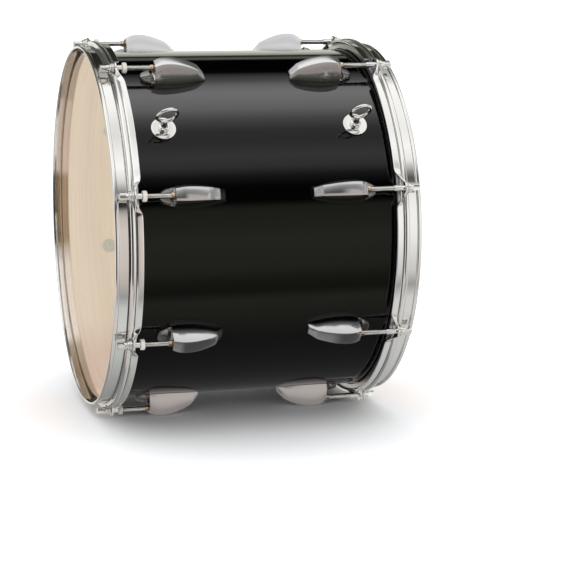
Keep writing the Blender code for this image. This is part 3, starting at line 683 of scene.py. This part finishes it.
sections = [(turn, hoop_section(ROD_CIRCLE * math.sin(turn))) for turn in hoop_turns()]
ring_size = len(sections[0][1])
for side in END:
    hoop_verts, hoop_faces = [], []
    for sector in LUG_ANGLES[side]:
        for turn, section in sections:
            angle = sector + turn
            hoop_verts += [(radius * math.cos(angle), radius * math.sin(angle), height)
                           for radius, height in section]
    columns = len(hoop_verts) // ring_size
    for c in range(columns):
        d = (c + 1) % columns
        for i in range(ring_size):
            j = (i + 1) % ring_size
            hoop_faces.append((c * ring_size + i, c * ring_size + j, d * ring_size + j, d * ring_size + i))
    hoop_mesh = bpy.data.meshes.new("%s_hoop_rolled" % side)
    hoop_mesh.from_pydata(hoop_verts, [], hoop_faces)
    for face in hoop_mesh.polygons:
        # strips in the creases take the second finish, chrome with painted crease shade
        face.material_index = int(face.index % ring_size in HOOP_CREASES)
    face_outwards(hoop_mesh)
    smooth(hoop_mesh, 38)
    new_piece("%s_counter_hoop" % side, hoop_mesh, END[side], "%s_hoop_and_head" % side, ["%s_hoop" % side],
              (chrome, crease_shade_chrome))

# Tension rods. Steel rods with a square key head, a round flange and two loose washers, a
# plain shank and a rolled thread of 24 turns to the inch that runs into the swivel nut.
ROD_TIP = 0.0039
KEY_HALF = 0.0031
KEY_HEIGHT = 0.0063
NECK_RADIUS = 0.0036
FLANGE_RADIUS = 0.0046
WASHER_RADIUS = 0.0055
WASHER_HOLE = 0.0040
WASHER_SEAT = 0.0179
SHANK_RADIUS = 0.0030
SHANK_END = 0.0300
THREAD_CREST = 0.0026
THREAD_ROOT = 0.00212
THREAD_PITCH = 0.0254 / 24
THREAD_SHOWN = 0.0560
ROD_END = 0.0860


def thread_into(bm, start, end, sides=18, rows_a_turn=6):
    """Rolled thread as one spiralling skin between two depths."""
    count = int((end - start) / THREAD_PITCH * rows_a_turn)
    rings = []
    for row in range(count + 1):
        depth = start + (end - start) * row / count
        ring = []
        for s in range(sides):
            turn = s / sides
            wave = abs(((depth / THREAD_PITCH - turn) % 1.0) * 2 - 1)
            radius = THREAD_ROOT + (THREAD_CREST - THREAD_ROOT) * min(max(wave * 1.4 - 0.2, 0.0), 1.0)
            ring.append(Vector((radius * math.cos(math.tau * turn), radius * math.sin(math.tau * turn),
                                -depth)))
        rings.append(ring)
    loft_into(bm, rings, 0)


rod_bm = bmesh.new()
head_low = ROD_TIP + KEY_HEIGHT
key_rings = []
for half, ease, depth in ((KEY_HALF - 0.0007, 0.0003, ROD_TIP), (KEY_HALF, 0.0003, ROD_TIP + 0.0007),
                          (KEY_HALF, 0.0003, head_low + 0.0012)):
    corners = [(half, half, ease), (-half, half, ease), (-half, -half, ease), (half, -half, ease)]
    key_rings.append([Vector((x, y, -depth)) for x, y in rounded(corners, 2)])
loft_into(rod_bm, key_rings, 0)
stack = SEAT_GAP - WASHER_SEAT
rod_outline = rounded([
    (0.0, -head_low, 0.0), (NECK_RADIUS, -head_low, 0.0005), (NECK_RADIUS, stack + 0.0045, 0.0),
    (FLANGE_RADIUS, stack + 0.0040, 0.0003), (FLANGE_RADIUS, stack + 0.0026, 0.0003),
    (WASHER_HOLE, stack + 0.0026, 0.0), (WASHER_HOLE, stack + 0.0024, 0.0),
    (WASHER_RADIUS, stack + 0.0024, 0.0003), (WASHER_RADIUS, stack + 0.0013, 0.0003),
    (WASHER_HOLE, stack + 0.0013, 0.0), (WASHER_HOLE, stack + 0.0011, 0.0),
    (WASHER_RADIUS, stack + 0.0011, 0.0003), (WASHER_RADIUS, stack, 0.0003),
    (SHANK_RADIUS, stack, 0.0), (SHANK_RADIUS, -SHANK_END, 0.0003), (0.0022, -SHANK_END - 0.0004, 0.0),
    (0.0, -SHANK_END - 0.0004, 0.0)], 3)
turned_into(rod_bm, rod_outline, Matrix.Identity(4), 28, 0)
thread_into(rod_bm, SHANK_END - 0.0002, THREAD_SHOWN)
turned_into(rod_bm, [(0.0, -THREAD_SHOWN + 0.0004), (THREAD_ROOT, -THREAD_SHOWN + 0.0004),
                     (THREAD_ROOT, -ROD_END + 0.0005), (THREAD_ROOT - 0.0005, -ROD_END),
                     (0.0, -ROD_END)], Matrix.Identity(4), 18, 0)
bmesh.ops.recalc_face_normals(rod_bm, faces=rod_bm.faces)
rod_mesh = bpy.data.meshes.new("tension_rod_threaded")
rod_bm.to_mesh(rod_mesh)
rod_bm.free()
smooth(rod_mesh)
for side in END:
    for number, angle in enumerate(LUG_ANGLES[side], 1):
        stand = END[side] @ Matrix.Rotation(angle, 4, 'Z') @ Matrix.Translation((ROD_CIRCLE, 0, 0))
        new_piece("%s_threaded_rod_%d" % (side, number), rod_mesh, stand,
                  "%s_tension_rod_%d" % (side, number), ["%s_rod_%d" % (side, number)],
                  (chrome,))

# Collars. Natural nylon, moulded, one pushed on each left rod under the ear, where it keeps a
# slack rod from dropping out of the hoop. The right rods have none.
COLLAR_RADIUS = 0.0053
COLLAR_BORE = 0.0033
COLLAR_TOP = 0.0262
COLLAR_LENGTH = 0.0042

# Natural nylon: milky white, soft gloss, with light going a little way in.
nylon, tree = new_finish("natural_nylon")
colour = blend_stops(tree, noise(tree, 0.003, 2.0), [(0.3, linear("#DDD5CB")), (0.7, linear("#EFEAE2"))])
coat(tree, colour, IOR=1.53, Roughness=0.4)

collar_end = COLLAR_TOP + COLLAR_LENGTH
collar_mesh = lathe("nylon_collar", rounded([
    (COLLAR_BORE, -COLLAR_TOP, 0.0003), (COLLAR_RADIUS, -COLLAR_TOP, 0.0009),
    (COLLAR_RADIUS, -collar_end, 0.0009), (COLLAR_BORE, -collar_end, 0.0003)]), 32)
for number, angle in enumerate(LUG_ANGLES["left"], 1):
    stand = END["left"] @ Matrix.Rotation(angle, 4, 'Z') @ Matrix.Translation((ROD_CIRCLE, 0, 0))
    new_piece("left_nylon_collar_%d" % number, collar_mesh, stand, "left_tension_rod_%d" % number,
              ["left_collar_%d" % number], (nylon,))

# Studio. A white floor that runs out to a white background, and even light from all round. Three
# light tents give the gloss something to mirror: one each for the lacquer, the lugs and the rest.
TENT_HALF_LENGTH = 7.0
TENT_SIDES = 96
FLOOR_REACH = 40.0
SHADE_REACH = 0.20
FLOOR_GLOW = 0.48
# panels by degrees round the drum's axis, 0 to the front and 90 up, with their brightness
NEUTRAL, WARM, PALE, ROSE, COOL = "#FFFFFF", "#FDFFE4", "#FFFFF0", "#FFF4EF", "#F8FCFA"
LACQUER_TENT = [
    (-180, 0.12, NEUTRAL), (-75, 0.13, NEUTRAL), (-46, 0.34, WARM), (-39, 0.13, WARM),
    (-32, 0.18, WARM), (-24, 0.34, WARM), (-5, 0.42, WARM), (4, 0.33, WARM), (15, 0.27, WARM),
    (19, 0.0, WARM), (29, 0.0, NEUTRAL), (36, 0.16, NEUTRAL), (42, 0.66, NEUTRAL), (49, 0.84, NEUTRAL),
    (60, 0.56, NEUTRAL), (68, 0.62, NEUTRAL), (77, 1.3, NEUTRAL), (85, 2.4, NEUTRAL),
    (92, 2.7, NEUTRAL), (99, 2.75, NEUTRAL), (106, 2.0, NEUTRAL), (112, 0.85, NEUTRAL),
    (119, 0.28, NEUTRAL), (122, 0.0, NEUTRAL), (142, 0.0, NEUTRAL), (144, 0.42, PALE),
    (147, 0.42, PALE), (149, 0.02, PALE), (151, 0.02, PALE), (154, 0.98, PALE), (161, 1.15, PALE),
    (180, 1.1, PALE)]
METAL_TENT = [
    (-180, 0.40, PALE), (-150, 0.30, NEUTRAL), (-130, 0.34, COOL), (-107, 0.44, COOL),
    (-60, 0.80, COOL), (-46, 0.72, COOL), (-38, 0.42, COOL), (-29, 0.62, ROSE), (-17, 0.74, ROSE),
    (3, 0.80, ROSE), (12, 0.66, ROSE), (16, 0.38, ROSE), (17.5, 0.02, NEUTRAL), (21, 0.02, NEUTRAL),
    (22, 0.33, ROSE), (27, 0.26, NEUTRAL), (34, 0.90, NEUTRAL), (43, 1.25, NEUTRAL),
    (63, 0.94, NEUTRAL), (72, 0.98, NEUTRAL), (84, 1.18, NEUTRAL), (103, 1.25, NEUTRAL),
    (111, 0.60, NEUTRAL), (121, 0.40, PALE), (125, 0.03, WARM), (150, 0.02, WARM), (154, 0.45, PALE),
    (160, 0.12, PALE), (164, 0.60, PALE), (180, 0.45, PALE)]
# what the other metal's tent has instead to the left and to the right of the drum
METAL_LEFT = [
    (-180, 0.95, PALE), (-168.8, 0.95, PALE), (-168.5, 0.72, ROSE), (-150, 0.72, ROSE),
    (-148, 0.30, NEUTRAL), (-91, 0.30, NEUTRAL), (-87, 0.72, ROSE), (-33, 0.76, ROSE),
    (-28, 0.04, WARM), (17, 0.03, WARM), (22, 0.60, NEUTRAL), (34, 1.25, NEUTRAL), (88, 1.35, NEUTRAL),
    (97, 0.40, NEUTRAL), (121, 0.14, NEUTRAL), (168, 0.12, NEUTRAL), (172, 0.95, PALE),
    (180, 0.95, PALE)]
METAL_RIGHT = [
    (-180, 0.40, PALE), (-130, 0.50, NEUTRAL), (-98, 0.66, NEUTRAL), (-78, 0.70, NEUTRAL),
    (-68, 0.64, NEUTRAL), (-58, 0.80, NEUTRAL), (-48, 0.80, NEUTRAL), (-38, 0.40, NEUTRAL),
    (-29, 0.74, NEUTRAL), (-18, 0.88, NEUTRAL), (-8, 1.05, NEUTRAL), (2, 1.14, NEUTRAL),
    (12, 1.12, NEUTRAL), (22, 1.02, NEUTRAL), (26, 0.90, NEUTRAL), (28, 0.14, NEUTRAL),
    (31, 0.10, NEUTRAL), (35, 0.34, NEUTRAL), (38.5, 0.66, NEUTRAL), (42.5, 1.06, NEUTRAL),
    (52, 1.22, NEUTRAL), (63, 1.10, NEUTRAL), (84, 1.18, NEUTRAL), (100, 1.25, NEUTRAL),
    (110, 0.62, NEUTRAL), (122, 0.42, NEUTRAL), (127, 0.04, WARM), (148, 0.03, WARM),
    (152, 0.60, PALE), (160, 0.15, PALE), (166, 0.60, PALE), (180, 0.40, PALE)]
# each list takes over from the one before it between two distances to the right
METAL_SPANS = [(-9.0, -8.0, METAL_LEFT), (-0.3, 0.8, METAL_TENT), (1.2, 2.1, METAL_RIGHT)]
# the lugs' tent to the left and to the right of the drum
LUG_LEFT = [
    (-180, 0.30, PALE), (-150, 0.30, NEUTRAL), (-120, 0.30, NEUTRAL), (-100, 0.40, NEUTRAL),
    (-70, 0.30, NEUTRAL), (-42, 0.15, NEUTRAL), (-38, 0.20, NEUTRAL), (-35, 0.47, ROSE),
    (-29, 0.45, ROSE), (-20, 0.50, ROSE), (-10, 0.66, ROSE), (4, 0.74, ROSE), (9, 0.66, ROSE),
    (12, 0.45, ROSE), (14, 0.08, NEUTRAL), (18, 0.09, NEUTRAL), (21, 0.16, NEUTRAL),
    (25, 0.26, NEUTRAL), (28, 0.40, NEUTRAL), (33, 0.62, NEUTRAL), (40, 0.82, NEUTRAL),
    (48, 1.10, NEUTRAL), (60, 1.05, NEUTRAL), (84, 1.30, NEUTRAL), (98, 1.50, NEUTRAL),
    (112, 1.50, NEUTRAL), (116, 1.00, NEUTRAL), (124, 0.85, NEUTRAL), (140, 0.85, NEUTRAL),
    (150, 0.20, NEUTRAL), (180, 0.30, PALE)]
LUG_RIGHT = [
    (-180, 0.30, PALE), (-150, 0.30, NEUTRAL), (-120, 0.25, NEUTRAL), (-95, 0.12, NEUTRAL),
    (-60, 0.10, NEUTRAL), (-42, 0.13, NEUTRAL), (-38, 0.20, NEUTRAL), (-35, 0.47, ROSE),
    (-29, 0.45, ROSE), (-22, 0.45, ROSE), (-15, 0.62, ROSE), (0, 0.78, ROSE), (21.5, 0.75, ROSE),
    (23.5, 0.30, NEUTRAL), (26, 0.38, NEUTRAL), (29, 0.50, NEUTRAL), (33, 0.70, NEUTRAL),
    (38, 1.05, NEUTRAL), (46, 1.20, NEUTRAL), (54, 1.04, NEUTRAL), (60, 1.02, NEUTRAL),
    (70, 1.15, NEUTRAL), (84, 1.30, NEUTRAL), (98, 1.50, NEUTRAL), (110, 1.50, NEUTRAL),
    (113, 1.20, NEUTRAL), (116, 0.88, NEUTRAL), (119, 0.60, NEUTRAL), (122, 0.35, NEUTRAL),
    (126, 0.20, NEUTRAL), (150, 0.12, NEUTRAL), (180, 0.40, PALE)]
LUG_SPANS = [(-9.0, -8.0, LUG_LEFT), (-1.2, 0.6, LUG_RIGHT)]
# the two ends of a tent by height over the drum's axis
LUG_ENDS = [
    (-6.0, 0.35, NEUTRAL), (-3.0, 1.20, NEUTRAL), (-1.5, 1.90, NEUTRAL), (3.2, 2.00, NEUTRAL),
    (6.0, 1.40, NEUTRAL)]
TENT_ENDS = [
    (-6.0, 0.35, NEUTRAL), (-2.5, 0.90, NEUTRAL), (0.6, 0.90, NEUTRAL), (3.2, 0.35, NEUTRAL),
    (6.0, 0.55, NEUTRAL)]

floor_white, tree = new_finish("white_paper")
paper = add_node(tree, 'BsdfDiffuse', {'Color': (0.90, 0.90, 0.90, 1.0)}).outputs['BSDF']
# the paper glows a little where the drum doesn't shade it, so that it runs out to plain white
seen = add_node(tree, 'LightPath').outputs
shown = calc(tree, 'MAXIMUM', seen['Is Camera Ray'], seen['Is Glossy Ray'])
shown = calc(tree, 'MAXIMUM', shown, seen['Is Transmission Ray'])
open_sky = add_node(tree, 'AmbientOcclusion', {'Distance': SHADE_REACH}).outputs['AO']
strength = calc(tree, 'MULTIPLY', calc(tree, 'POWER', open_sky, 2.0), shown)
strength = calc(tree, 'MULTIPLY', strength, FLOOR_GLOW)
glow = add_node(tree, 'Emission', {'Color': (0.96, 0.99, 1.04, 1.0), 'Strength': strength})
both = add_node(tree, 'AddShader', {0: paper, 1: glow.outputs['Emission']})
add_node(tree, 'OutputMaterial', {'Surface': both.outputs['Shader']})
floor_mesh = bpy.data.meshes.new("floor")
floor_corners = [(x * FLOOR_REACH, y * FLOOR_REACH, 0.0) for x, y in ((-1, -1), (1, -1), (1, 1), (-1, 1))]
floor_mesh.from_pydata(floor_corners, [], [(0, 1, 2, 3)])
floor_mesh.materials.append(floor_white)
floor = bpy.data.objects.new("floor", floor_mesh)
bpy.context.scene.collection.objects.link(floor)
floor.location.z = -0.0002
floor.visible_glossy = False
floor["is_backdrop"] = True


def panel_colour(tree, place, first, last, stops, brightest):
    """Colour of a cloth at a place value between two limits, as a share of its brightest panel."""
    start, reach = stops[0][0], stops[-1][0] - stops[0][0]
    return blend_stops(tree, remap(tree, place, first, last), [
        ((at - start) / reach, [c * strength / brightest for c in linear(tint)[:3]] + [1.0])
        for at, strength, tint in stops])


def lit_cloth(name, spans, ends, sheer):
    """Glowing cloth, sheer or dense, for the sides or, where there are none, for the ends of a tent."""
    cloth, tree = new_finish(name)
    where = add_node(tree, 'NewGeometry').outputs['Position']
    split = add_node(tree, 'SeparateXYZ', {'Vector': where}).outputs
    lifted = calc(tree, 'SUBTRACT', split['Z'], axis_centre.z)
    brightest = max(stop[1] for stops in [span[2] for span in spans] + [ends] for stop in stops)
    if spans:
        turn = calc(tree, 'ARCTAN2', lifted, calc(tree, 'MULTIPLY', split['Y'], -1.0))
        colour = None
        for first, last, stops in spans:
            panels = panel_colour(tree, turn, -math.pi, math.pi, stops, brightest)
            if colour:
                inputs = {'Factor': remap(tree, split['X'], first, last), 6: colour, 7: panels}
                panels = add_node(tree, 'Mix', inputs, data_type='RGBA').outputs[2]
            colour = panels
    else:
        colour = panel_colour(tree, lifted, ends[0][0], ends[-1][0], ends, brightest)
    surface = add_node(tree, 'Emission', {'Color': colour, 'Strength': brightest}).outputs['Emission']
    if sheer:
        clear = add_node(tree, 'BsdfTransparent').outputs['BSDF']
        surface = add_node(tree, 'AddShader', {0: surface, 1: clear}).outputs['Shader']
    add_node(tree, 'OutputMaterial', {'Surface': surface})
    return cloth


def light_tent(name, radius, spans, ends, pieces, lit, sheer):
    """A tent round the drum that gloss alone sees; lit says whether the pieces or all others do."""
    verts = []
    for x in (-TENT_HALF_LENGTH, TENT_HALF_LENGTH):
        for k in range(TENT_SIDES):
            angle = math.tau * k / TENT_SIDES
            verts.append((x, radius * math.cos(angle), radius * math.sin(angle) + axis_centre.z))
    left_rim, right_rim = list(range(TENT_SIDES)), list(range(TENT_SIDES, 2 * TENT_SIDES))
    pairs = zip(left_rim, left_rim[1:] + left_rim[:1], right_rim[1:] + right_rim[:1], right_rim)
    mesh = bpy.data.meshes.new(name)
    mesh.from_pydata(verts, [], list(pairs) + [left_rim, right_rim])
    mesh.materials.append(lit_cloth(name + "_sides", spans, [], sheer))
    mesh.materials.append(lit_cloth(name + "_ends", [], ends, sheer))
    for face in mesh.polygons[-2:]:
        face.material_index = 1
    tent = bpy.data.objects.new(name, mesh)
    bpy.context.scene.collection.objects.link(tent)
    tent.visible_camera = tent.visible_diffuse = tent.visible_transmission = False
    tent.visible_shadow = tent.visible_volume_scatter = False
    group = bpy.data.collections.new(name + "_lights")
    for number, piece in enumerate(pieces):
        group.objects.link(piece)
        group.collection_objects[number].light_linking.link_state = lit
    tent.light_linking.receiver_collection = group
    tent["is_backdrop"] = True


LACQUER_SPANS = [(-9.0, -8.0, LACQUER_TENT)]
light_tent("lacquer_tent", 5.8, LACQUER_SPANS, TENT_ENDS, [shell], 'INCLUDE', True)
light_tent("lug_tent", 5.9, LUG_SPANS, LUG_ENDS, lugs, 'INCLUDE', True)
light_tent("metal_tent", 6.0, METAL_SPANS, TENT_ENDS, [shell] + lugs, 'EXCLUDE', False)

world = bpy.data.worlds.new("white_studio")
world.use_nodes = True
world.node_tree.nodes.clear()
sky = add_node(world.node_tree, 'Background', {'Color': (1.0, 1.0, 1.0, 1.0), 'Strength': 1.03})
add_node(world.node_tree, 'OutputWorld', {'Surface': sky.outputs['Background']})
bpy.context.scene.world = world

# Camera. A long lens from the front left, a little above the drum, as the photograph has it.
camera_data = bpy.data.cameras.new("camera")
camera_data.sensor_width = 36.0
camera_data.lens = 117.57
camera = bpy.data.objects.new("camera", camera_data)
bpy.context.scene.collection.objects.link(camera)
camera.location = axis_centre + Vector((-0.4816, -1.8972, 0.2487))
aim = axis_centre + Vector((0.0682, 0.0, -0.0740))
camera.rotation_euler = (aim - camera.location).to_track_quat('-Z', 'Y').to_euler()
bpy.context.scene.camera = camera
bpy.context.scene.view_settings.view_transform = 'Standard'

low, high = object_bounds()
